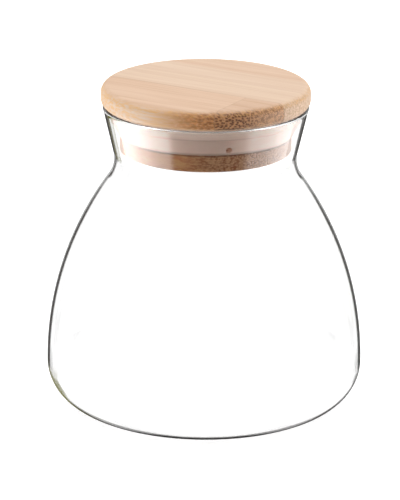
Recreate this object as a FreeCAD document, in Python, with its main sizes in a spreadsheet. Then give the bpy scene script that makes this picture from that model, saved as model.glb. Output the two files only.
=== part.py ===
import FreeCAD, Part
import math
import os
import Sketcher

# A glass food canister with a bamboo plug lid, in millimetres and degrees.
# +Z is up, the axis of the jar is Z, and the origin is the centre of the plane that it stands on.
# The front is -Y.  Every driving dimension is a row of this list: name, value, what it measures.
SIZES = [
    ("jar_height", 132.9, "resting plane to the top of the glass rim"),
    ("body_radius", 68.9, "outside of the glass at its widest, at the top of the heel"),
    ("heel_radius", 17.8, "outside radius of the round heel"),
    ("inner_heel_radius", 17.0, "inside radius of the round heel"),
    ("foot_width", 5.0, "width of the flat ring that the jar stands on"),
    ("push_up", 1.4, "rise of the base from the foot ring to the axis"),
    ("throat_radius", 39.4, "outside of the glass at its narrowest"),
    ("throat_curve", 15.0, "outside radius of the concave curve at the throat"),
    ("neck_height", 23.9, "throat to the top of the rim"),
    ("rim_radius", 44.5, "outside of the flared neck at the rim"),
    ("floor_wall", 2.0, "thickness of the glass at the base"),
    ("flank_wall", 1.2, "thickness of the glass at its widest, where it is blown out most"),
    ("throat_wall", 1.5, "thickness of the glass at the throat"),
    ("rim_wall", 2.0, "thickness of the glass at the rim"),
    ("lid_gap", 0.1, "underside of the disc above the rim"),
    ("disc_overhang", 0.5, "edge of the disc beyond the rim"),
    ("disc_thickness", 8.8, "thickness of the disc board"),
    ("disc_top_round", 3.3, "rounding of the upper edge of the disc"),
    ("disc_under_round", 2.6, "rounding of the lower edge of the disc"),
    ("plug_gap", 1.0, "plug to the inside of the throat"),
    ("plug_depth", 19.5, "underside of the disc to the bottom of the plug"),
    ("plug_round", 1.3, "rounding of the lower edge of the plug"),
    ("groove_depth", 4.9, "depth of the seal groove behind the plug's edge"),
    ("seal_height", 11.9, "underside of the disc to the plug's shoulder, filled by the seal"),
    ("seal_gap", 0.4, "seal to the inside of the neck"),
    ("seal_band", 4.2, "height of the upper band that lies along the glass"),
    ("seal_lip", 0.4, "lower edge of the seal beyond the plug"),
    ("seal_round", 1.2, "rounding of the lower edge of the seal"),
    ("seal_skin", 1.5, "thickness of the outer wall of the seal"),
    ("seal_flange", 1.5, "thickness of the upper and lower flanges of the seal"),
    ("seal_fit", 0.1, "seal to the core of the plug"),
    ("vent_diameter", 2.8, "vent hole through the outer wall of the seal"),
    ("vent_rise", 2.5, "vent hole's centre above the plug's shoulder"),
    ("vent_angle", 14.6, "vent hole to the right of the front"),
    ("grain_angle", 30.0, "bamboo grain, right end turned to the front"),
    ("front_seam", 10.2, "axis to the seam behind the front strip"),
    ("mid_front_width", 18.7, "width of the strip in front of the middle"),
    ("back_width", 12.9, "width of the back strip across the plug"),
    ("butt_joint", 25.5, "axis to the butt joint in the front strip of the disc, along the grain"),
]
SIZE = {name: value for name, value, note in SIZES}

# Derived sizes, as expressions on the sheet.
FOOT_INNER = "(sizes.body_radius - sizes.heel_radius - sizes.foot_width)"
THROAT_LEVEL = "(sizes.jar_height - sizes.neck_height)"
THROAT_CENTRE = "(sizes.throat_radius + sizes.throat_curve)"
LID_LEVEL = "(sizes.jar_height + sizes.lid_gap)"
DISC_TOP = "(sizes.jar_height + sizes.lid_gap + sizes.disc_thickness)"
DISC_RADIUS = "(sizes.rim_radius + sizes.disc_overhang)"
PLUG_RADIUS = "(sizes.throat_radius - sizes.throat_wall - sizes.plug_gap)"
PLUG_LEVEL = "(%s - sizes.plug_depth)" % LID_LEVEL
CORE_RADIUS = "(%s - sizes.groove_depth)" % PLUG_RADIUS
SHOULDER_LEVEL = "(%s - sizes.seal_height)" % LID_LEVEL
SEAL_BORE = "(%s + sizes.seal_fit)" % CORE_RADIUS
SEAL_TOP_RADIUS = "(sizes.rim_radius - sizes.rim_wall - sizes.seal_gap)"
RIM_ROUND = "(0.42 * sizes.rim_wall)"
NECK_SLOPE = "((sizes.rim_radius - sizes.throat_radius) / sizes.neck_height)"
SEAL_BAND_LEVEL = "(%s - sizes.seal_band)" % LID_LEVEL
SEAL_BAND_RADIUS = "(%s - sizes.seal_band * %s)" % (SEAL_TOP_RADIUS, NECK_SLOPE)
SEAL_LOW_RADIUS = "(%s + sizes.seal_lip)" % PLUG_RADIUS
FRONT_SEAM = "(-sizes.front_seam)"
MIDDLE_SEAM = "(sizes.mid_front_width - sizes.front_seam)"
BACK_SEAM = "(%s - sizes.back_width)" % PLUG_RADIUS
BUTT_JOINT = "sizes.butt_joint"
PLANK_REACH = "(2 * %s)" % DISC_RADIUS

# A sketch's own numbers for the points of a curve, for its axes and for its origin.
EDGE, START, END, CENTRE = range(4)
Y_AXIS, X_AXIS = range(-2, 0)
ORIGIN = (X_AXIS, START)
# The sizes that set each surface of the glass.  Blown glass isn't even, so the inner surface has
# its own depth at the floor, the flank, the throat and the rim.
OUTER_GLASS = {"heel": "heel_radius"}
INNER_GLASS = {"heel": "inner_heel_radius", "floor": "floor_wall", "flank": "flank_wall",
               "throat": "throat_wall", "rim": "rim_wall"}
UP = FreeCAD.Vector(0, 0, 1)
TOUCH = 1e-3

doc = FreeCAD.newDocument("food_canister")
sheet = doc.addObject("Spreadsheet::Sheet", "sizes")
for row, (name, value, note) in enumerate(SIZES, start=1):
    sheet.set("A%d" % row, note)
    sheet.set("B%d" % row, str(value))
    sheet.setAlias("B%d" % row, name)
doc.recompute()


def add_body(label):
    body = doc.addObject("PartDesign::Body", label)
    body.Label = label
    return body


def origin_feature(body, role):
    return next(item for item in body.Origin.OriginFeatures if item.Role == role)


# A sketch on the body's XZ plane: its x is the radius and its y is the height.
def add_profile(body, name):
    sketch = body.newObject("Sketcher::SketchObject", name)
    sketch.AttachmentSupport = (origin_feature(body, "XZ_Plane"), [""])
    sketch.MapMode = "FlatFace"
    return sketch


def add_size(sketch, name, kind, where, seed, expression):
    index = sketch.addConstraint(Sketcher.Constraint(kind, *where, seed))
    sketch.renameConstraint(index, name)
    sketch.setExpression("Constraints." + name, expression)


def spin(body, sketch, kind, name):
    feature = body.newObject(kind, name)
    feature.Profile = sketch
    feature.ReferenceAxis = (sketch, ["V_Axis"])
    feature.Angle = 360
    doc.recompute()
    return feature


# Round edges of a body that lie at one radius and one height.
def round_edges(body, feature, name, places, radius):
    def is_chosen(edge):
        vertex = edge.Vertexes[0].Point
        spot = (math.hypot(vertex.x, vertex.y), vertex.z)
        return any(math.dist(spot, place) < TOUCH for place in places) and edge.Closed

    chosen = ["Edge%d" % (i + 1) for i, edge in enumerate(feature.Shape.Edges) if is_chosen(edge)]
    fillet = body.newObject("PartDesign::Fillet", name)
    fillet.Base = (feature, chosen)
    fillet.setExpression("Radius", radius)
    doc.recompute()
    return fillet


# A closed outline of straight lines through corners that are given as expressions.
# The corners start on a ring beside the axis, and the solver moves them to their places.
def add_outline(body, name, corners):
    sketch = add_profile(body, name)
    count = len(corners)
    middle = FreeCAD.Vector(SIZE["body_radius"], SIZE["jar_height"], 0)
    spoke = FreeCAD.Vector(SIZE["heel_radius"], 0, 0)
    ring = []
    for i in range(count):
        ring.append(middle + FreeCAD.Rotation(UP, 360 * i / count).multVec(spoke))
    for i in range(count):
        sketch.addGeometry(Part.LineSegment(ring[i], ring[(i + 1) % count]))
    for i, (across, height) in enumerate(corners):
        sketch.addConstraint(Sketcher.Constraint("Coincident", i, START, (i - 1) % count, END))
        if across == "0":
            sketch.addConstraint(Sketcher.Constraint("PointOnObject", i, START, Y_AXIS))
        else:
            add_size(sketch, "x%d" % i, "DistanceX", (*ORIGIN, i, START), ring[i].x, across)
        add_size(sketch, "z%d" % i, "DistanceY", (*ORIGIN, i, START), ring[i].y, height)
    return sketch


# One surface of the glass, from the axis over the foot to the rim: a domed base, a flat foot, a round
# heel, a long flank arc, a concave throat arc and a straight neck, all tangent to each other but for
# the dome.
def jar_profile(body, name, surface):
    def depth(place):
        return SIZE[surface[place]] if place in surface else 0

    def below(place):
        return "sizes." + surface[place] if place in surface else "0"

    floor = depth("floor")
    heel = depth("heel")
    heel_level = floor + heel
    side = SIZE["body_radius"] - depth("flank")
    heel_centre = side - heel
    foot_inner = SIZE["body_radius"] - SIZE["heel_radius"] - SIZE["foot_width"]
    curve = SIZE["throat_curve"] + depth("throat")
    throat_centre = SIZE["throat_radius"] + SIZE["throat_curve"]
    throat_level = SIZE["jar_height"] - SIZE["neck_height"]
    rim = FreeCAD.Vector(SIZE["rim_radius"] - depth("rim"), SIZE["jar_height"], 0)
    apex = FreeCAD.Vector(0, SIZE["push_up"] + floor, 0)
    peak = FreeCAD.Vector(0, SIZE["jar_height"], 0)

    # The flank circle touches the heel at its widest and the throat circle from outside.
    across = throat_centre - side
    rise = throat_level - heel_level
    flank = (across**2 + rise**2 - curve**2) / (2 * (curve - across))
    flank_turn = math.atan2(rise, across + flank)
    # The neck is the tangent from the rim to the throat circle.
    reach = math.hypot(rim.x - throat_centre, rim.y - throat_level)
    neck_turn = math.atan2(rim.y - throat_level, rim.x - throat_centre) + math.acos(curve / reach)
    dome = (foot_inner**2 + SIZE["push_up"]**2) / (2 * SIZE["push_up"])

    def arc(x, y, radius, first, last):
        return Part.ArcOfCircle(Part.Circle(FreeCAD.Vector(x, y, 0), UP, radius), first, last)

    sketch = add_profile(body, name)
    base_arc = sketch.addGeometry(
        arc(0, apex.y - dome, dome, math.acos(foot_inner / dome), math.pi / 2))
    foot_line = sketch.addGeometry(Part.LineSegment(
        FreeCAD.Vector(foot_inner, floor, 0), FreeCAD.Vector(heel_centre, floor, 0)))
    heel_arc = sketch.addGeometry(arc(heel_centre, heel_level, heel, -math.pi / 2, 0))
    flank_arc = sketch.addGeometry(arc(side - flank, heel_level, flank, 0, flank_turn))
    throat_shape = arc(throat_centre, throat_level, curve, neck_turn, math.pi + flank_turn)
    throat_arc = sketch.addGeometry(throat_shape)
    neck_line = sketch.addGeometry(Part.LineSegment(throat_shape.StartPoint, rim))
    mouth_line = sketch.addGeometry(Part.LineSegment(rim, peak))
    axis_line = sketch.addGeometry(Part.LineSegment(peak, apex))

    def tie(kind, *where):
        sketch.addConstraint(Sketcher.Constraint(kind, *where))

    tie("Coincident", base_arc, START, foot_line, START)
    tie("Tangent", foot_line, END, heel_arc, START)
    tie("Tangent", heel_arc, END, flank_arc, START)
    tie("Tangent", flank_arc, END, throat_arc, END)
    tie("Tangent", throat_arc, START, neck_line, START)
    tie("Coincident", neck_line, END, mouth_line, START)
    tie("Coincident", mouth_line, END, axis_line, START)
    tie("Coincident", axis_line, END, base_arc, END)
    tie("Horizontal", foot_line)
    tie("Horizontal", mouth_line)
    tie("Horizontal", heel_arc, CENTRE, heel_arc, END)
    tie("PointOnObject", base_arc, CENTRE, Y_AXIS)
    tie("PointOnObject", axis_line, START, Y_AXIS)
    tie("PointOnObject", axis_line, END, Y_AXIS)

    def size(name, kind, where, seed, expression):
        add_size(sketch, name, kind, where, seed, expression)

    if "floor" in surface:
        size("floor", "DistanceY", (*ORIGIN, foot_line, END), floor, below("floor"))
    else:
        tie("PointOnObject", foot_line, END, X_AXIS)
    size("apex", "DistanceY", (*ORIGIN, axis_line, END), apex.y, "sizes.push_up + " + below("floor"))
    size("foot", "DistanceX", (*ORIGIN, foot_line, START), foot_inner, FOOT_INNER)
    size("heel", "Radius", (heel_arc,), heel, below("heel"))
    size("side", "DistanceX", (*ORIGIN, heel_arc, END), side, "sizes.body_radius - " + below("flank"))
    size("curve", "Radius", (throat_arc,), curve, "sizes.throat_curve + " + below("throat"))
    size("throat_x", "DistanceX", (*ORIGIN, throat_arc, CENTRE), throat_centre, THROAT_CENTRE)
    size("throat_z", "DistanceY", (*ORIGIN, throat_arc, CENTRE), throat_level, THROAT_LEVEL)
    size("rim", "DistanceX", (*ORIGIN, neck_line, END), rim.x, "sizes.rim_radius - " + below("rim"))
    size("height", "DistanceY", (*ORIGIN, neck_line, END), rim.y, "sizes.jar_height")
    return sketch


# The jar: the outer form less the inner one, with the rim rounded by fire polishing.
def make_jar():
    jar = add_body("jar_body")
    outer = jar_profile(jar, "jar_outside", OUTER_GLASS)
    blown = spin(jar, outer, "PartDesign::Revolution", "jar_blown")
    inner = jar_profile(jar, "jar_inside", INNER_GLASS)
    hollow = spin(jar, inner, "PartDesign::Groove", "jar_hollow")
    if hollow.Shape.Volume >= blown.Shape.Volume:
        raise RuntimeError("the jar was not hollowed")
    rim_outside = (SIZE["rim_radius"], SIZE["jar_height"])
    rim_inside = (SIZE["rim_radius"] - SIZE["rim_wall"], SIZE["jar_height"])
    round_edges(jar, hollow, "jar_rim", [rim_outside, rim_inside], RIM_ROUND)
    return jar


# The disc board as it leaves the lathe, before it is told apart into strips.
def turn_disc():
    disc = add_body("disc_board")
    outline = add_outline(disc, "disc_outline", [
        ("0", LID_LEVEL), (DISC_RADIUS, LID_LEVEL), (DISC_RADIUS, DISC_TOP), ("0", DISC_TOP)])
    turned = spin(disc, outline, "PartDesign::Revolution", "disc_turned")
    edge = SIZE["rim_radius"] + SIZE["disc_overhang"]
    under = SIZE["jar_height"] + SIZE["lid_gap"]
    top_edge = [(edge, under + SIZE["disc_thickness"])]
    eased = round_edges(disc, turned, "disc_upper_edge", top_edge, "sizes.disc_top_round")
    round_edges(disc, eased, "disc_lower_edge", [(edge, under)], "sizes.disc_under_round")
    return disc


# The plug board as it leaves the lathe: a core, and a flange below it that holds the seal up.
def turn_plug():
    plug = add_body("plug_board")
    outline = add_outline(plug, "plug_outline", [
        ("0", PLUG_LEVEL), (PLUG_RADIUS, PLUG_LEVEL), (PLUG_RADIUS, SHOULDER_LEVEL),
        (CORE_RADIUS, SHOULDER_LEVEL), (CORE_RADIUS, LID_LEVEL), ("0", LID_LEVEL)])
    turned = spin(plug, outline, "PartDesign::Revolution", "plug_turned")
    edge = SIZE["throat_radius"] - SIZE["throat_wall"] - SIZE["plug_gap"]
    bottom = SIZE["jar_height"] + SIZE["lid_gap"] - SIZE["plug_depth"]
    round_edges(plug, turned, "plug_lower_edge", [(edge, bottom)], "sizes.plug_round")
    return plug


# The room that one strip takes up in a glued board, with the grain along X.
def add_plank(name, x_low, x_high, y_low, y_high):
    plank = doc.addObject("Part::Box", "plank_" + name)
    plank.setExpression("Length", "%s - %s" % (x_high, x_low))
    plank.setExpression("Width", "%s - %s" % (y_high, y_low))
    plank.setExpression("Height", "2 * sizes.jar_height")
    plank.setExpression("Placement.Base.x", x_low)
    plank.setExpression("Placement.Base.y", y_low)
    return plank


def add_strip(label, board, plank):
    strip = doc.addObject("Part::Common", label)
    strip.Label = label
    strip.Base = board
    strip.Tool = plank
    strip.Placement = FreeCAD.Placement(FreeCAD.Vector(), FreeCAD.Rotation(UP, -1))
    strip.setExpression("Placement.Rotation.Angle", "-sizes.grain_angle")
    return strip


# Strips of the two boards: the seams of both are in line, and only the disc has the butt joint.
def make_strips():
    disc = turn_disc()
    plug = turn_plug()
    low, high = "(-%s)" % PLANK_REACH, PLANK_REACH
    planks = {
        "back": add_plank("back", low, high, BACK_SEAM, high),
        "mid_back": add_plank("mid_back", low, high, MIDDLE_SEAM, BACK_SEAM),
        "mid_front": add_plank("mid_front", low, high, FRONT_SEAM, MIDDLE_SEAM),
        "front": add_plank("front", low, high, low, FRONT_SEAM),
        "front_long": add_plank("front_long", low, BUTT_JOINT, low, FRONT_SEAM),
        "front_short": add_plank("front_short", BUTT_JOINT, high, low, FRONT_SEAM),
    }
    strips = []
    for place in ("back", "mid_back", "mid_front", "front_long", "front_short"):
        strips.append(add_strip("disc_strip_" + place, disc, planks[place]))
    for place in ("back", "mid_back", "mid_front", "front"):
        strips.append(add_strip("plug_strip_" + place, plug, planks[place]))
    doc.recompute()
    return strips


# The seal: a channel that opens to the core, with a band along the glass, a conical lower wall
# and one vent hole, which lets air out of the channel as the seal is pressed in.
def make_seal():
    seal = add_body("silicone_seal")
    low_inner = "(%s - sizes.seal_skin)" % SEAL_LOW_RADIUS
    band_inner = "(%s - sizes.seal_skin)" % SEAL_BAND_RADIUS
    top_inner = "(%s - sizes.seal_skin)" % SEAL_TOP_RADIUS
    floor = "(%s + sizes.seal_flange)" % SHOULDER_LEVEL
    ceiling = "(%s - sizes.seal_flange)" % LID_LEVEL
    outline = add_outline(seal, "seal_outline", [
        (SEAL_BORE, SHOULDER_LEVEL), (SEAL_LOW_RADIUS, SHOULDER_LEVEL),
        (SEAL_BAND_RADIUS, SEAL_BAND_LEVEL), (SEAL_TOP_RADIUS, LID_LEVEL),
        (SEAL_BORE, LID_LEVEL), (SEAL_BORE, ceiling), (top_inner, ceiling),
        (band_inner, SEAL_BAND_LEVEL), (low_inner, floor), (SEAL_BORE, floor)])
    moulded = spin(seal, outline, "PartDesign::Revolution", "seal_moulded")
    edge = SIZE["throat_radius"] - SIZE["throat_wall"] - SIZE["plug_gap"] + SIZE["seal_lip"]
    shoulder = SIZE["jar_height"] + SIZE["lid_gap"] - SIZE["seal_height"]
    eased = round_edges(seal, moulded, "seal_lower_edge", [(edge, shoulder)], "sizes.seal_round")

    # The hole starts inside the channel and leaves through the outer wall at the front.
    spot = add_profile(seal, "vent_spot")
    spot.setExpression("AttachmentOffset.Base.z", "%s - sizes.seal_skin" % low_inner)
    radius = SIZE["vent_diameter"] / 2
    level = shoulder + SIZE["vent_rise"]
    middle = FreeCAD.Vector(0, level, 0)
    circle = spot.addGeometry(Part.Circle(middle, UP, radius))
    spot.addConstraint(Sketcher.Constraint("PointOnObject", circle, CENTRE, Y_AXIS))
    add_size(spot, "bore", "Radius", (circle,), radius, "sizes.vent_diameter / 2")
    vent_level = "%s + sizes.vent_rise" % SHOULDER_LEVEL
    add_size(spot, "level", "DistanceY", (*ORIGIN, circle, CENTRE), level, vent_level)
    vent = seal.newObject("PartDesign::Pocket", "vent_hole")
    vent.Profile = spot
    vent.Reversed = True
    vent.setExpression("Length", SEAL_TOP_RADIUS)
    doc.recompute()
    if eased.Shape.Volume - vent.Shape.Volume < math.pi * radius**2 * SIZE["seal_skin"]:
        raise RuntimeError("the vent hole missed the wall of the seal")
    seal.Placement = FreeCAD.Placement(FreeCAD.Vector(), FreeCAD.Rotation(UP, 1))
    seal.setExpression("Placement.Rotation.Angle", "sizes.vent_angle")
    return seal


pieces = [make_jar(), make_seal(), *make_strips()]
doc.recompute()

for item in doc.Objects:
    if "Invalid" in item.State or "Error" in item.State:
        raise RuntimeError("%s failed: %s" % (item.Label, item.State))
for piece in pieces:
    if piece.Shape.isNull() or not piece.Shape.isValid() or len(piece.Shape.Solids) != 1:
        raise RuntimeError("%s is not one sound solid" % piece.Label)

os.makedirs("parts", exist_ok=True)
for piece in pieces:
    piece.Shape.exportStep("parts/%s.step" % piece.Label)
    box = piece.Shape.BoundBox
    print("%-24s %9.1f mm3  z %.2f to %.2f" % (piece.Label, piece.Shape.Volume, box.ZMin, box.ZMax))
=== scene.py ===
import math

import bmesh
import bpy
import numpy as np
from mathutils import Euler, Matrix


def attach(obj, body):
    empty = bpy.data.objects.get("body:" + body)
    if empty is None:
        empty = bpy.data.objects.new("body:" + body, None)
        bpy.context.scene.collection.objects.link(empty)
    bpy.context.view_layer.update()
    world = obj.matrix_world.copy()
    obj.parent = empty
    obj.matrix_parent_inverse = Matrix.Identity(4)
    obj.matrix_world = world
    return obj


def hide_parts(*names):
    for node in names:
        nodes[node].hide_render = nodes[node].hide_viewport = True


# A glass food canister with a bamboo plug lid.  The dictionaries are in millimetres and degrees,
# the meshes in metres.  The front is -Y and the axis of the jar is Z.
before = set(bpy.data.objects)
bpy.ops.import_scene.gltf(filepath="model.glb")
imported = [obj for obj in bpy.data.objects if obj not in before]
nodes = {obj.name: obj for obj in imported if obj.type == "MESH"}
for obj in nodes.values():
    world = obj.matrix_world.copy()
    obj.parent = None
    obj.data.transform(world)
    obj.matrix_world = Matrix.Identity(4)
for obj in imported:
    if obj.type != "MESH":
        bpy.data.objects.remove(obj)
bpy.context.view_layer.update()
mm = 0.001
toMillimetres = (1 / mm,) * 3
weld = 2e-7
print("frame loaded with", len(nodes), "nodes")


# Meshes

# quads over a grid of points, rows by columns; the last column joins the first
def gridFaces(rows, columns):
    index = np.arange(rows * columns).reshape(rows, columns)
    index = np.hstack([index, index[:, :1]])
    corners = [index[:-1, :-1], index[:-1, 1:], index[1:, 1:], index[1:, :-1]]
    return np.stack(corners, axis=-1).reshape(-1, 4)


# a profile of radius and height carried round the axis: x = r cos a, y = r sin a, z = height
def turnProfile(profile, turns):
    angle = np.linspace(0, 2 * np.pi, turns, endpoint=False)
    radius = profile[:, :1]
    flat = np.ones_like(angle) * profile[:, 1:]
    return np.stack([radius * np.cos(angle), radius * np.sin(angle), flat], axis=-1)


# points in millimetres and quads become a smooth mesh with its poles and seams welded
def makePiece(name, points, faces, material):
    mesh = bpy.data.meshes.new(name)
    mesh.from_pydata((points.reshape(-1, 3) * mm).tolist(), [], faces.tolist())
    work = bmesh.new()
    work.from_mesh(mesh)
    bmesh.ops.remove_doubles(work, verts=work.verts, dist=weld)
    bmesh.ops.recalc_face_normals(work, faces=work.faces)
    work.to_mesh(mesh)
    work.free()
    mesh.polygons.foreach_set("use_smooth", np.full(len(mesh.polygons), True))
    mesh.materials.append(material)
    piece = bpy.data.objects.new(name, mesh)
    bpy.context.collection.objects.link(piece)
    return piece


# points of an arc round a centre, both angles in radians
def arcPoints(x, z, radius, first, last, count):
    turn = np.linspace(first, last, count)
    return np.stack([x + radius * np.cos(turn), z + radius * np.sin(turn)], axis=-1)


# Materials

# a node with its settings and its inputs, which are values or the outputs of other nodes
def put(tree, kind, inputs=None, **settings):
    node = tree.nodes.new(kind)
    for name, value in settings.items():
        setattr(node, name, value)
    for key, value in (inputs or {}).items():
        if isinstance(value, bpy.types.NodeSocket):
            tree.links.new(value, node.inputs[key])
        else:
            node.inputs[key].default_value = value
    return node


def calc(tree, operation, first, second=0.0, third=0.0):
    values = {0: first, 1: second, 2: third}
    return put(tree, "ShaderNodeMath", values, operation=operation).outputs[0]


# how far a value is from a middle one
def apart(tree, value, middle):
    return calc(tree, "ABSOLUTE", calc(tree, "SUBTRACT", value, middle))


# bottom at low, top at high and a smooth step between them; low may be the larger one
def ramp(tree, value, low, high, bottom=0.0, top=1.0):
    values = {"Value": value, "From Min": low, "From Max": high, "To Min": bottom, "To Max": top}
    node = put(tree, "ShaderNodeMapRange", values, interpolation_type="SMOOTHSTEP")
    return node.outputs["Result"]


# 1 between the two middle edges, falling to 0 at the outer ones
def window(tree, value, first, second, third, fourth):
    return calc(tree, "MULTIPLY", ramp(tree, value, first, second), ramp(tree, value, fourth, third))


def blendColour(tree, share, first, second):
    return put(tree, "ShaderNodeMix", {0: share, 6: first, 7: second}, data_type="RGBA").outputs[2]


def stretch(tree, vector, scale, shift=(0, 0, 0)):
    node = put(tree, "ShaderNodeMapping", {"Vector": vector, "Location": shift, "Scale": scale})
    return node.outputs["Vector"]


def noise(tree, vector, detail, roughness):
    values = {"Vector": vector, "Scale": 1.0, "Detail": detail, "Roughness": roughness}
    return put(tree, "ShaderNodeTexNoise", values).outputs[0]


# a material whose shader has these plain values
def newMaterial(name, values):
    material = bpy.data.materials.new(name)
    material.use_nodes = True
    shader = material.node_tree.nodes["Principled BSDF"]
    for key, value in values.items():
        shader.inputs[key].default_value = value
    return material


# Jar

# The outside is the CAD's.  The inner surface has its own depths, because blown glass is thinnest
# where it is widest, and at the floor and the heel it lies closer to the outside than in the CAD.
jar = {
    "height": 132.9, "bodyRadius": 68.9, "heelRadius": 17.8, "footWidth": 5.0, "pushUp": 1.4,
    "throatRadius": 39.4, "throatCurve": 15.0, "neckHeight": 23.9, "rimRadius": 44.5, "rimRound": 0.84,
    "floorWall": 1.2, "flankWall": 1.2, "throatWall": 1.5, "rimWall": 2.0, "innerHeel": 15.9,
    "turns": 288, "baseSteps": 24, "footSteps": 5, "heelSteps": 36, "flankSteps": 48,
    "throatSteps": 30, "neckSteps": 14, "rimSteps": 10, "bend": 1.47,
}


# One surface of the glass from the axis to the rim: a shallow dome, a flat foot, the heel's quarter
# circle, a long flank arc that touches the heel and the throat arc, the throat arc, and the straight
# neck as its tangent, rounded into the rim.  It takes the heel's radius, the depths under the outside
# at the floor, flank, throat and rim, and 1 for the outside or -1 for the inside.
def glassLine(heel, floor, flank, throat, rim, rimSide):
    level = floor + heel
    side = jar["bodyRadius"] - flank
    heelX = side - heel
    footX = jar["bodyRadius"] - jar["heelRadius"] - jar["footWidth"]
    curve = jar["throatCurve"] + throat
    throatX = jar["throatRadius"] + jar["throatCurve"]
    throatZ = jar["height"] - jar["neckHeight"]
    rimX = jar["rimRadius"] - rim
    across = throatX - side
    rise = throatZ - level
    sweep = (across**2 + rise**2 - curve**2) / (2 * (curve - across))
    sweepTurn = math.atan2(rise, across + sweep)
    reach = math.hypot(rimX - throatX, jar["neckHeight"])
    neckTurn = math.atan2(jar["neckHeight"], rimX - throatX) + math.acos(curve / reach)
    dome = (footX**2 + jar["pushUp"]**2) / (2 * jar["pushUp"])
    domeZ = floor + jar["pushUp"] - dome
    lean = math.atan2(rimX - throatX - curve * math.cos(neckTurn),
                      jar["neckHeight"] - curve * math.sin(neckTurn))
    base = arcPoints(0, domeZ, dome, math.pi / 2, math.acos(footX / dome), jar["baseSteps"])
    share = np.linspace(0, 1, jar["footSteps"])[1:-1]
    foot = np.stack([footX + (heelX - footX) * share, np.full_like(share, floor)], axis=-1)
    heelArc = arcPoints(heelX, level, heel, -math.pi / 2, 0, jar["heelSteps"])
    flankArc = arcPoints(side - sweep, level, sweep, 0, sweepTurn, jar["flankSteps"])[1:]
    throatArc = arcPoints(throatX, throatZ, curve, math.pi + sweepTurn, neckTurn, jar["throatSteps"])[1:]
    small = jar["rimRound"]
    smallX = rimX - small * math.tan(lean) - rimSide * small / math.cos(lean)
    first = -lean if rimSide > 0 else math.pi - lean
    rimArc = arcPoints(smallX, jar["height"] - small, small, first, math.pi / 2, jar["rimSteps"])
    share = np.linspace(0, 1, jar["neckSteps"])[1:-1, None]
    neck = throatArc[-1] + (rimArc[0] - throatArc[-1]) * share
    return np.vstack([base, foot, heelArc, flankArc, throatArc, neck, rimArc])


def makeJar():
    material = newMaterial("clearGlass", {
        "Base Color": (1, 1, 1, 1), "Roughness": 0.0, "IOR": jar["bend"], "Transmission Weight": 1.0})
    outside = glassLine(jar["heelRadius"], 0, 0, 0, 0, 1)
    inside = glassLine(jar["innerHeel"], jar["floorWall"], jar["flankWall"], jar["throatWall"],
                       jar["rimWall"], -1)
    profile = np.vstack([outside, inside[::-1]])
    points = turnProfile(profile, jar["turns"])
    faces = gridFaces(len(profile), jar["turns"])
    piece = makePiece("jarGlass", points, faces, material)
    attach(piece, "jar")
    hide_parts("jar_body")
    print("jar glass:", len(piece.data.polygons), "faces")


makeJar()


# Bamboo

# Places are measured along the grain, across it from the axis, and up.  An edge is a pair where an
# effect starts and is full, with its two levels after it where they are not 0 and 1.  A noise has its
# scales along the grain, across it and up, then its detail and its roughness.
bamboo = {
    "grainTurn": 30.0, "shoulder": 121.1,
    "shiftWays": (5, 13, 7), "plugShift": 71.0, "plugShiftStep": 12,
    "seams": (-10.2, 8.5, 24.0), "seamShades": (0.40, 0.16, 0.16), "seamEdge": (0.35, 0.05),
    "butt": 25.5, "buttShade": 0.30, "glue": (0.36, 0.20, 0.11, 1),
    "endEdge": (0.15, 0.75), "underside": 0.2, "uprightEdge": (0.94, 0.55),
    "wander": (0.05, 0.3, 0.3), "wanderReach": (0, 0.5, 0.5),
    "bundle": 1.10, "finer": 1.8, "fineShade": 0.5, "scatter": 0.75, "dotEdge": (0.48, 0.18),
    "endDots": 0.6, "sideDots": 0.3, "gold": (0.74, 0.41, 0.13, 1), "goldEdge": (0.0, 24.0),
    "bands": ((0.008, 0.22, 0.22), 3.0, 0.55), "bandTone": (5.0, -2.0),
    "fibres": ((0.03, 2.2, 2.2), 3.0, 0.6), "fibreMiddle": 0.5, "fibreTone": 3.2,
    "turnedFibres": (0.3, 0.6, 0.55, 1.0), "plugEdge": (8.0, 21.0),
    # painted sheen on the left of the disc's upright faces, and where it starts and is full
    "leftSheen": (0.71, 0.54, 0.42, 1), "leftSheenEdge": (19.0, -7.0),
    "grooves": ((0.10, 0.9, 0.9), 2.0, 0.6), "grooveEdge": (0.58, 0.38, 0.0, 0.5),
    "darkLine": (0.05, 0.02, 0.01, 1), "darkLineEdge": (0.30, 0.10, 0.0, 0.9),
    "flecks": ((0.5, 1.5, 1.5), 2.0, 0.5), "fleckEdge": (0.45, 0.65), "fleckShade": 0.45,
    "roundedEdge": (0.15, 0.45, 0.75, 0.97),
    # painted shadow of the seal's lip on the plug: its colour, edges and strength
    "sealShadow": (0.10, 0.045, 0.02, 1), "sealShadowEdge": (-1.1, -0.1), "sealShadowShade": 0.6,
    # painted light on the core: its colour, edges and strength
    "core": (0.42, 0.235, 0.135, 1), "coreEdge": (0.2, 0.6), "coreGlow": 0.35,
    "shine": 0.45, "gloss": (0.2, 0.8, 0.42, 0.58),
    "relief": 0.25, "reliefDepth": 0.1, "dotRelief": -0.5,
}
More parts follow.
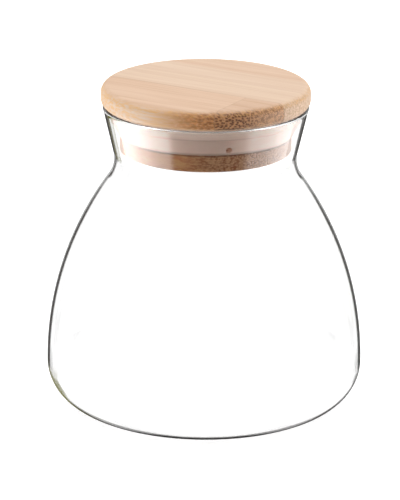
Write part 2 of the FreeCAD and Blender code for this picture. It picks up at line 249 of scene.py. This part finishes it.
strips = {
    "disc_strip_back": {
        "pale": (0.695, 0.485, 0.34, 1), "deep": (0.645, 0.425, 0.28, 1), "side": (0.67, 0.47, 0.32, 1),
        "dot": (0.40, 0.22, 0.11, 1), "dots": 0.5, "shift": 3.0},
    "disc_strip_mid_back": {
        "pale": (0.715, 0.525, 0.38, 1), "deep": (0.665, 0.465, 0.325, 1), "side": (0.68, 0.48, 0.33, 1),
        "dot": (0.45, 0.27, 0.14, 1), "dots": 0.4, "shift": 17.0},
    "disc_strip_mid_front": {
        "pale": (0.715, 0.525, 0.375, 1), "deep": (0.66, 0.46, 0.32, 1), "side": (0.70, 0.48, 0.32, 1),
        "dot": (0.42, 0.24, 0.12, 1), "dots": 0.5, "shift": 31.0},
    "disc_strip_front_long": {
        "pale": (0.695, 0.475, 0.325, 1), "deep": (0.625, 0.40, 0.255, 1), "side": (0.60, 0.265, 0.093, 1),
        "dot": (0.21, 0.075, 0.025, 1), "dots": 0.85, "shift": 47.0},
    "disc_strip_front_short": {
        "pale": (0.645, 0.425, 0.28, 1), "deep": (0.575, 0.355, 0.22, 1), "side": (0.53, 0.245, 0.10, 1),
        "dot": (0.10, 0.036, 0.015, 1), "dots": 1.0, "shift": 59.0,
        "skin": (-29.0, -19.0), "heart": (0.64, 0.335, 0.16, 1),
        "lineSpanLevel": 134.2, "lineSpan": (-37.0, -36.0, -30.0, -27.0)},
}
plugLook = {
    "pale": (0.70, 0.38, 0.19, 1), "deep": (0.34, 0.115, 0.036, 1), "side": (0.57, 0.21, 0.077, 1),
    "dot": (0.74, 0.42, 0.22, 1), "dots": 0.6,
}
for row, place in enumerate(("back", "mid_back", "mid_front", "front")):
    shift = bamboo["plugShift"] + bamboo["plugShiftStep"] * row
    strips["plug_strip_" + place] = dict(plugLook, shift=shift)


# Solid bamboo: fibre bundles are thin strands along the grain, so a face along the grain shows
# streaks and a face across it shows dots, wherever the strip is cut.
def bambooMaterial(name, look):
    isDisc = name.startswith("disc")
    material = newMaterial(name, {"Specular IOR Level": bamboo["shine"]})
    tree = material.node_tree
    shader = tree.nodes["Principled BSDF"]
    turn = math.radians(bamboo["grainTurn"])
    place = put(tree, "ShaderNodeTexCoord").outputs
    plain = {"Vector": place["Object"], "Rotation": (0, 0, turn), "Scale": toMillimetres}
    board = put(tree, "ShaderNodeMapping", plain).outputs["Vector"]
    lengthwise, crosswise, level = put(tree, "ShaderNodeSeparateXYZ", {0: board}).outputs
    along = stretch(tree, board, (1, 1, 1), [look["shift"] * way for way in bamboo["shiftWays"]])
    # how squarely the grain meets the surface, 0 along it and 1 across it, and how upright that is
    axis = (math.cos(turn), -math.sin(turn), 0)
    facing = put(tree, "ShaderNodeVectorMath", {0: place["Normal"], 1: axis}, operation="DOT_PRODUCT")
    endGrain = ramp(tree, calc(tree, "ABSOLUTE", facing.outputs["Value"]), *bamboo["endEdge"])
    up = put(tree, "ShaderNodeSeparateXYZ", {0: place["Normal"]}).outputs["Z"]
    flat = calc(tree, "MAXIMUM", up, calc(tree, "SUBTRACT", bamboo["underside"], up))
    upright = ramp(tree, flat, *bamboo["uprightEdge"])

    # strands wander a little along their length
    slow = stretch(tree, along, bamboo["wander"])
    wander = put(tree, "ShaderNodeTexNoise", {"Vector": slow, "Scale": 1.0}).outputs["Color"]
    moved = {0: wander, 1: bamboo["wanderReach"], 2: along}
    spread = put(tree, "ShaderNodeVectorMath", moved, operation="MULTIPLY_ADD").outputs[0]
    strand = put(tree, "ShaderNodeSeparateXYZ", {0: spread}).outputs
    section = put(tree, "ShaderNodeCombineXYZ", {0: strand["Y"], 1: strand["Z"]}).outputs[0]

    # the strands as dots where they are cut
    def bundles(finer, shade):
        layout = {"Vector": section, "Scale": finer / bamboo["bundle"], "Randomness": bamboo["scatter"]}
        cells = put(tree, "ShaderNodeTexVoronoi", layout, voronoi_dimensions="2D")
        return ramp(tree, cells.outputs["Distance"], *bamboo["dotEdge"], 0.0, shade)

    # noise drawn out along the grain
    def streaks(kind):
        scale, detail, roughness = bamboo[kind]
        return noise(tree, stretch(tree, along, scale), detail, roughness)

    dots = bundles(1.0, 1.0)
    if "skin" in look:
        # the bundles are finer and paler away from the skin of the stem
        inward = ramp(tree, crosswise, *look["skin"])
        outer = calc(tree, "MULTIPLY", calc(tree, "SUBTRACT", 1.0, inward), dots)
        inner = calc(tree, "MULTIPLY", inward, bundles(bamboo["finer"], bamboo["fineShade"]))
        dots = calc(tree, "ADD", outer, inner)
    fibres = streaks("fibres")

    # the ground between pale and deep, with its own colour on the upright faces
    tone = calc(tree, "MULTIPLY_ADD", streaks("bands"), *bamboo["bandTone"])
    fibreTone = calc(tree, "SUBTRACT", fibres, bamboo["fibreMiddle"])
    tone = calc(tree, "MULTIPLY_ADD", fibreTone, bamboo["fibreTone"], tone)
    ground = blendColour(tree, tone, look["pale"], look["deep"])
    turned = calc(tree, "MULTIPLY", upright, ramp(tree, fibres, *bamboo["turnedFibres"]))
    face = look["side"]
    if "skin" in look:
        face = blendColour(tree, inward, face, look["heart"])
    elif isDisc:
        # painted sheen: the disc's upright faces turn paler towards the left, where the bright light falls
        face = blendColour(tree, ramp(tree, lengthwise, *bamboo["leftSheenEdge"]), face, bamboo["leftSheen"])
    else:
        face = blendColour(tree, ramp(tree, lengthwise, *bamboo["plugEdge"]), face, look["deep"])
    ground = blendColour(tree, turned, ground, face)

    # grooves and dots turn from golden to dark along the grain
    spots = blendColour(tree, ramp(tree, lengthwise, *bamboo["goldEdge"]), bamboo["gold"], look["dot"])
    grooves = ramp(tree, streaks("grooves"), *bamboo["grooveEdge"])
    ground = blendColour(tree, calc(tree, "MULTIPLY", upright, grooves), ground, spots)
    sideDots = calc(tree, "MULTIPLY", upright, bamboo["sideDots"])
    cross = calc(tree, "MULTIPLY_ADD", endGrain, bamboo["endDots"], sideDots)
    cross = calc(tree, "MULTIPLY", calc(tree, "MULTIPLY", dots, cross), look["dots"])
    colour = blendColour(tree, cross, ground, spots)

    # thin glue lines where this strip meets its neighbours
    joints = [(crosswise, seam, shade) for seam, shade in zip(bamboo["seams"], bamboo["seamShades"])]
    if isDisc and "mid" not in name and "front" in name:
        joints.append((lengthwise, bamboo["butt"], bamboo["buttShade"]))
    lines = 0.0
    for way, seam, shade in joints:
        line = ramp(tree, apart(tree, way, seam), *bamboo["seamEdge"], 0.0, shade)
        lines = calc(tree, "MAXIMUM", lines, line)
    colour = blendColour(tree, lines, colour, bamboo["glue"])

    if "lineSpan" in look:
        # a thin dark line along the foot of the rim
        darkLine = ramp(tree, apart(tree, level, look["lineSpanLevel"]), *bamboo["darkLineEdge"])
        darkLine = calc(tree, "MULTIPLY", window(tree, crosswise, *look["lineSpan"]), darkLine)
        colour = blendColour(tree, darkLine, colour, bamboo["darkLine"])
    if isDisc:
        # the rounded upper edge shows golden flecks
        fleck = ramp(tree, streaks("flecks"), *bamboo["fleckEdge"])
        fleck = calc(tree, "MULTIPLY", window(tree, up, *bamboo["roundedEdge"]), fleck)
        fleck = calc(tree, "MULTIPLY", fleck, bamboo["fleckShade"])
        colour = blendColour(tree, fleck, colour, bamboo["gold"])
    else:
        # painted shadow of the seal's lip darkens the plug right under the seal
        low, high = [bamboo["shoulder"] + step for step in bamboo["sealShadowEdge"]]
        sealShadow = ramp(tree, level, low, high, 0.0, bamboo["sealShadowShade"])
        colour = blendColour(tree, sealShadow, colour, bamboo["sealShadow"])
        # painted light: emission makes the core glow where light through the thin wall of the seal would
        # fall
        low, high = [bamboo["shoulder"] + step for step in bamboo["coreEdge"]]
        core = ramp(tree, level, low, high, 0.0, bamboo["coreGlow"])
        shader.inputs["Emission Color"].default_value = bamboo["core"]
        tree.links.new(core, shader.inputs["Emission Strength"])

    tree.links.new(colour, shader.inputs["Base Color"])
    tree.links.new(ramp(tree, fibres, *bamboo["gloss"]), shader.inputs["Roughness"])
    relief = {"Height": calc(tree, "MULTIPLY_ADD", dots, bamboo["dotRelief"], fibres),
              "Strength": bamboo["relief"], "Distance": bamboo["reliefDepth"] * mm}
    tree.links.new(put(tree, "ShaderNodeBump", relief).outputs["Normal"], shader.inputs["Normal"])
    return material


for name, look in strips.items():
    nodes[name].material_slots[0].material = bambooMaterial(name.replace("strip", "bamboo"), look)
print("bamboo on", len(strips), "strips")


# Seal

# Levels and radii of the cone under the band, in the CAD's frame.  Edges are as for the bamboo; those
# of the foot and the band are above the foot and the band's level.
seal = {
    "foot": bamboo["shoulder"], "footRadius": 37.3, "flare": 0.506, "bandLevel": 128.8,
    "colour": (0.86, 0.62, 0.51, 1), "clear": (0.90, 0.67, 0.56, 1), "shade": (0.30, 0.18, 0.12, 1),
    # the band's colour is painted paler, standing in for light under the disc; glow is the colour of the
    # ring's painted light
    "band": (0.94, 0.72, 0.60, 1), "inner": (0.58, 0.37, 0.25, 1), "glow": (0.97, 0.82, 0.74, 1),
    "cloud": ((0.12, 0.12, 0.3), 3.0, 0.5), "cloudEdge": (0.3, 0.7), "gloss": (0.2, 0.8, 0.34, 0.46),
    # the foot's painted shade: footEdge and footShade
    "bandRise": 2.0, "lineEdge": (0.30, 0.05, 0.0, 0.28), "footEdge": (1.8, 0.2), "footShade": 0.6,
    "innerEdge": (0.25, 0.6), "innerTop": -1.5,
    # painted light: where and how strongly the ring glows under the disc, towards the sides and on the
    # inner flange
    "topGlow": (127.0, 132.0, 0.0, 0.09), "sideGlow": (6.0, 20.0, 0.0, 0.11),
    "flangeGlow": (34.0, 35.4, 0.0, 0.10),
    "scatter": 0.45, "scatterColours": (1.0, 0.75, 0.65), "depth": 3.0,
}


def sealMaterial():
    material = newMaterial("sealSilicone", {
        "Emission Color": seal["glow"], "Subsurface Weight": seal["scatter"],
        "Subsurface Radius": seal["scatterColours"], "Subsurface Scale": seal["depth"] * mm})
    tree = material.node_tree
    shader = tree.nodes["Principled BSDF"]
    spot = stretch(tree, put(tree, "ShaderNodeTexCoord").outputs["Object"], toMillimetres)
    where = put(tree, "ShaderNodeSeparateXYZ", {0: spot}).outputs
    level = where["Z"]
    across = put(tree, "ShaderNodeVectorMath", {0: spot, 1: (1, 1, 0)}, operation="MULTIPLY").outputs[0]
    radius = put(tree, "ShaderNodeVectorMath", {0: across}, operation="LENGTH").outputs["Value"]
    scale, detail, roughness = seal["cloud"]
    cloud = noise(tree, stretch(tree, spot, scale), detail, roughness)
    colour = blendColour(tree, ramp(tree, cloud, *seal["cloudEdge"]), seal["colour"], seal["clear"])
    # the band is painted paler, in place of the light that the disc's overhang keeps off it
    band = ramp(tree, level, seal["bandLevel"], seal["bandLevel"] + seal["bandRise"])
    colour = blendColour(tree, band, colour, seal["band"])
    # a faint dark line at the band's edge, and painted shade on the foot where a rounded lower edge would
    # turn from the light
    line = ramp(tree, apart(tree, level, seal["bandLevel"]), *seal["lineEdge"])
    colour = blendColour(tree, line, colour, seal["shade"])
    high, low = [seal["foot"] + step for step in seal["footEdge"]]
    colour = blendColour(tree, ramp(tree, level, high, low, 0.0, seal["footShade"]), colour, seal["shade"])
    # what lies inside the cone shows through the vent hole, tinted by the wood; the cone's radius is
    # the foot's plus the flare for each millimetre above the foot
    rise = calc(tree, "SUBTRACT", level, seal["foot"])
    cone = calc(tree, "MULTIPLY_ADD", rise, seal["flare"], seal["footRadius"])
    deep = ramp(tree, calc(tree, "SUBTRACT", cone, radius), *seal["innerEdge"])
    underBand = calc(tree, "LESS_THAN", level, seal["bandLevel"] + seal["innerTop"])
    deep = calc(tree, "MULTIPLY", deep, underBand)
    colour = blendColour(tree, deep, colour, seal["inner"])
    # painted light: emission makes the clear ring glow under the disc, towards the sides, and on the inner
    # flange that is seen through the vent hole, in place of light that travels inside the ring
    sideGlow = ramp(tree, calc(tree, "ABSOLUTE", where["X"]), *seal["sideGlow"])
    paintedGlow = calc(tree, "MAXIMUM", ramp(tree, level, *seal["topGlow"]), sideGlow)
    flange = calc(tree, "MULTIPLY", deep, ramp(tree, radius, *seal["flangeGlow"]))
    tree.links.new(calc(tree, "MAXIMUM", paintedGlow, flange), shader.inputs["Emission Strength"])
    tree.links.new(colour, shader.inputs["Base Color"])
    tree.links.new(ramp(tree, cloud, *seal["gloss"]), shader.inputs["Roughness"])
    return material


nodes["silicone_seal"].material_slots[0].material = sealMaterial()
print("seal done")


# Studio

# Angles are in degrees from the middle of the backdrop for flags, and from the camera's side for boxes
# and cards.  Heights are the sine of the angle above the horizon.  A flag has four edges across and
# four up.  A box or card starts, is full at its first level, reaches its last level at a far angle,
# and then leaves and ends.  Turns are counts of reflections.
studio = {
    "floor": 8.0, "floorDrop": 0.02, "floorColour": (0.78, 0.78, 0.78, 1), "floorRough": 0.9,
    "floorGlow": 0.7, "bounces": 64,
    "behind": (1.20, 1.20, 1.20, 1), "cameraWhite": (1.1, 1.1, 1.1, 1),
    "flag": (0.072, 0.063, 0.057, 1), "longWay": (0.55, 0.53, 0.51, 1), "heelTint": (0.15, 0.145, 0.01, 1),
    "halfQuarter": 45.0, "someTurn": 0.5, "fewTurns": 6.5, "manyTurns": 30.0, "manyTurnsHeight": (0.0, 0.1),
    "seenFlag": ((12, 14, 25, 27), (-0.52, -0.42, -0.12, -0.02)),
    "neckSeen": ((20, 24, 31, 34), (-0.42, -0.40, -0.32, -0.30)),
    "tableSeen": ((-2, -1, 22, 34), (-0.82, -0.76, -0.46, -0.42)), "tableShade": 0.95,
    "mirrorFlag": ((5, 6.5, 24, 26), (-0.66, -0.60, -0.12, -0.02)),
    "neckFlag": ((20, 24, 31, 34), (-0.44, -0.42, -0.37, -0.355)),
    "footFlag": ((-2, -1, 9, 12), (-0.84, -0.78, -0.46, -0.41)),
    "heelFlag": ((6, 7.5, 40, 44), (-0.56, -0.50, -0.38, -0.34)), "heelSide": (0.0, -0.05),
    "leftBox": (24, 34, 2.0, 75, 1.8, 68, 106), "rightBox": (30, 40, 0.9, 100, 3.0, 112, 136),
    "leftCard": (40, 52, 2.8, 95, 5.4, 106, 150), "rightCard": (48, 66, 1.8, 106, 3.0, 116, 150),
    "cardRise": -0.0019, "cardTop": (-0.58, -0.53), "cardFoot": (-0.84, -0.80), "boxTop": (0.3, 0.1),
    "fill": 0.06, "wideBack": 0.25, "wideEdge": (92, 103), "middleBack": 0.6, "middleEdge": (128, 140),
    "ceiling": 1.88, "ceilingEdge": (0.66, 0.74), "below": 0.28, "belowEdge": (-0.80, -0.86),
    "mirrorHeight": (-0.44, -0.40, 0.2, 0.3),
    "aslantAngle": 125.0, "aslantTop": -0.3, "rimTurns": 2.5, "rimTop": -0.8, "forwardTop": -0.36,
}


def makeFloor():
    half = studio["floor"] / 2 / mm
    corners = [(-half, -half), (half, -half), (half, half), (-half, half)]
    points = np.array([[x, y, -studio["floorDrop"]] for x, y in corners])
    material = newMaterial("floorPaper", {
        "Base Color": studio["floorColour"], "Roughness": studio["floorRough"],
        "Emission Color": (1, 1, 1, 1), "Emission Strength": studio["floorGlow"]})
    piece = makePiece("floor", points, np.array([[0, 1, 2, 3]]), material)
    piece.visible_diffuse = False
    piece.visible_glossy = False
    piece.visible_transmission = False
    piece.visible_shadow = False


# The room: white for the camera, a white backdrop with dark flags that draw the glass's edges, cards
# low on each side, boxes on the cards, a ceiling and a dark front.
def makeRoom():
    world = bpy.data.worlds.new("room")
    bpy.context.scene.world = world
    world.use_nodes = True
    tree = world.node_tree
    way = put(tree, "ShaderNodeTexCoord").outputs["Generated"]
    x, y, z = put(tree, "ShaderNodeSeparateXYZ", {0: way}).outputs
    rays = put(tree, "ShaderNodeLightPath").outputs

    def both(first, second):
        return calc(tree, "MULTIPLY", first, second)

    def either(first, second):
        return calc(tree, "MAXIMUM", first, second)

    def total(first, second):
        return calc(tree, "ADD", first, second)

    def without(value):
        return calc(tree, "SUBTRACT", 1.0, value)

    def over(value, limit):
        return calc(tree, "GREATER_THAN", value, studio[limit])

    def under(value, limit):
        return calc(tree, "LESS_THAN", value, studio[limit])

    def flag(angle, name):
        edges, heights = studio[name]
        return both(window(tree, angle, *edges), window(tree, z, *heights))

    def sideLight(angle, name):
        start, full, first, far, last, leave, end = studio[name]
        level = ramp(tree, angle, full, far, first, last)
        return both(level, window(tree, angle, start, full, leave, end))

    behind = calc(tree, "DEGREES", calc(tree, "ARCTAN2", x, y))
    offMiddle = calc(tree, "ABSOLUTE", behind)
    fold = calc(tree, "PINGPONG", behind, studio["halfQuarter"])
    turns = rays["Glossy Depth"]
    turnedBack = over(turns, "someTurn")

    # What shows through the glass is white.  Light that was reflected inside the wall finds a flag in
    # every quarter of the turn, one for the neck and the dark table; light that went a long way is grey.
    seen = blendColour(tree, both(flag(fold, "seenFlag"), turnedBack), studio["behind"], studio["flag"])
    trapped = both(over(turns, "manyTurns"), ramp(tree, z, *studio["manyTurnsHeight"]))
    seen = blendColour(tree, trapped, seen, studio["longWay"])
    seen = blendColour(tree, both(flag(offMiddle, "neckSeen"), turnedBack), seen, studio["flag"])
    table = both(flag(offMiddle, "tableSeen"), both(turnedBack, under(turns, "fewTurns")))
    seen = blendColour(tree, both(table, studio["tableShade"]), seen, studio["flag"])

    # flags on the backdrop as the glass mirrors it, with a longer one low on the left
    low = both(flag(offMiddle, "heelFlag"), ramp(tree, x, *studio["heelSide"]))
    dark = either(flag(offMiddle, "mirrorFlag"), low)
    dark = either(dark, flag(offMiddle, "neckFlag"))
    dark = either(dark, flag(offMiddle, "footFlag"))

    # light from the room; the boxes stand on the upper edges of the cards, which rise towards the back
    right = calc(tree, "DEGREES", calc(tree, "ARCTAN2", x, both(y, -1.0)))
    left = both(right, -1.0)
    aside = calc(tree, "ABSOLUTE", right)
    cardTop = ramp(tree, calc(tree, "MULTIPLY_ADD", aside, studio["cardRise"], z), *studio["cardTop"])
    boxes = total(sideLight(left, "leftBox"), sideLight(right, "rightBox"))
    boxes = both(both(boxes, cardTop), ramp(tree, z, *studio["boxTop"]))
    cards = total(sideLight(left, "leftCard"), sideLight(right, "rightCard"))
    cards = both(both(cards, without(cardTop)), ramp(tree, z, *studio["cardFoot"]))
    wideBack = ramp(tree, aside, *studio["wideEdge"], 0.0, studio["wideBack"])
    back = total(wideBack, ramp(tree, aside, *studio["middleEdge"], 0.0, studio["middleBack"]))
    ceilingFoot, ceilingFull = studio["ceilingEdge"]
    back = both(both(back, ramp(tree, z, ceilingFull, ceilingFoot)), without(dark))
    light = total(total(boxes, studio["fill"]), back)
    ceiling = ramp(tree, z, ceilingFoot, ceilingFull)
    light = calc(tree, "MULTIPLY_ADD", ceiling, studio["ceiling"], light)
    light = total(light, cards)
    below = ramp(tree, z, *studio["belowEdge"])
    light = calc(tree, "MULTIPLY_ADD", below, studio["below"], both(light, without(below)))

    # a plain reflection on the glass finds the backdrop and its flags in every quarter of the turn
    even = without(either(dark, flag(fold, "mirrorFlag")))
    even = total(both(even, studio["wideBack"] + studio["middleBack"]), studio["fill"])
    mirror = both(rays["Is Singular Ray"], rays["Is Reflection Ray"])
    mirror = both(mirror, window(tree, z, *studio["mirrorHeight"]))
    light = calc(tree, "MULTIPLY_ADD", mirror, calc(tree, "SUBTRACT", even, light), light)

    # light that a piece inside the jar gathers is the room's, and so is light that the wall reflects
    # down to the front, down to the sides, or straight down out of the rim
    bounced = over(rays["Diffuse Depth"], "someTurn")
    aslant = both(under(aside, "aslantAngle"), under(z, "aslantTop"))
    inRim = both(over(turns, "rimTurns"), under(z, "rimTop"))
    forward = both(calc(tree, "LESS_THAN", y, 0.0), under(z, "forwardTop"))
    mirrored = both(turnedBack, either(either(forward, inRim), aslant))
    through = both(rays["Is Transmission Ray"], without(either(bounced, mirrored)))
    colour = put(tree, "ShaderNodeCombineXYZ", {0: light, 1: light, 2: light}).outputs[0]
    colour = blendColour(tree, through, colour, seen)
    # the long flag low on the left has a colour of its own
    colour = blendColour(tree, low, colour, studio["heelTint"])
    colour = blendColour(tree, rays["Is Camera Ray"], colour, studio["cameraWhite"])
    tree.links.new(colour, tree.nodes["Background"].inputs["Color"])

    # light runs a long way inside the wall of the jar before it comes out
    paths = bpy.context.scene.cycles
    paths.max_bounces = studio["bounces"]
    paths.glossy_bounces = studio["bounces"]
    paths.transmission_bounces = studio["bounces"]


makeFloor()
makeRoom()
print("studio lit")


# Camera

# The photograph's view: focus is the middle of the lid's disc, which lies at a known pixel of the
# picture; the camera looks at the picture's middle, with no shift.
view = {
    "focus": (0.0, 0.0, 137.4), "rise": 15.45, "roll": 0.40, "distance": 1286.0,
    "picture": (400, 500), "pixel": (205.9, 93.8), "focal": 3000.0, "sensor": 36.0,
}


def makeCamera():
    width, height = view["picture"]
    data = bpy.data.cameras.new("camera")
    data.lens = view["focal"] * view["sensor"] / height
    data.sensor_width = view["sensor"]
    data.sensor_fit = "AUTO"
    camera = bpy.data.objects.new("camera", data)
    bpy.context.collection.objects.link(camera)
    right = (view["pixel"][0] - width / 2) / view["focal"]
    up = (height / 2 - view["pixel"][1]) / view["focal"]
    tilt = math.radians(view["rise"]) + math.atan(up)
    yaw = math.atan(right / math.hypot(1.0, up) * math.cos(math.atan(up)) / math.cos(tilt))
    roll = Matrix.Rotation(math.radians(view["roll"]), 3, "Z")
    turned = Euler((math.pi / 2 - tilt, 0.0, yaw)).to_matrix() @ roll
    camera.rotation_euler = turned.to_euler()
    ray = np.array([right, up, -1.0])
    toFocus = np.array(turned) @ (ray / np.linalg.norm(ray))
    camera.location = (np.array(view["focus"]) - toFocus * view["distance"]) * mm
    bpy.context.scene.camera = camera


makeCamera()
bpy.context.scene.view_settings.view_transform = "Standard"
print("camera set")
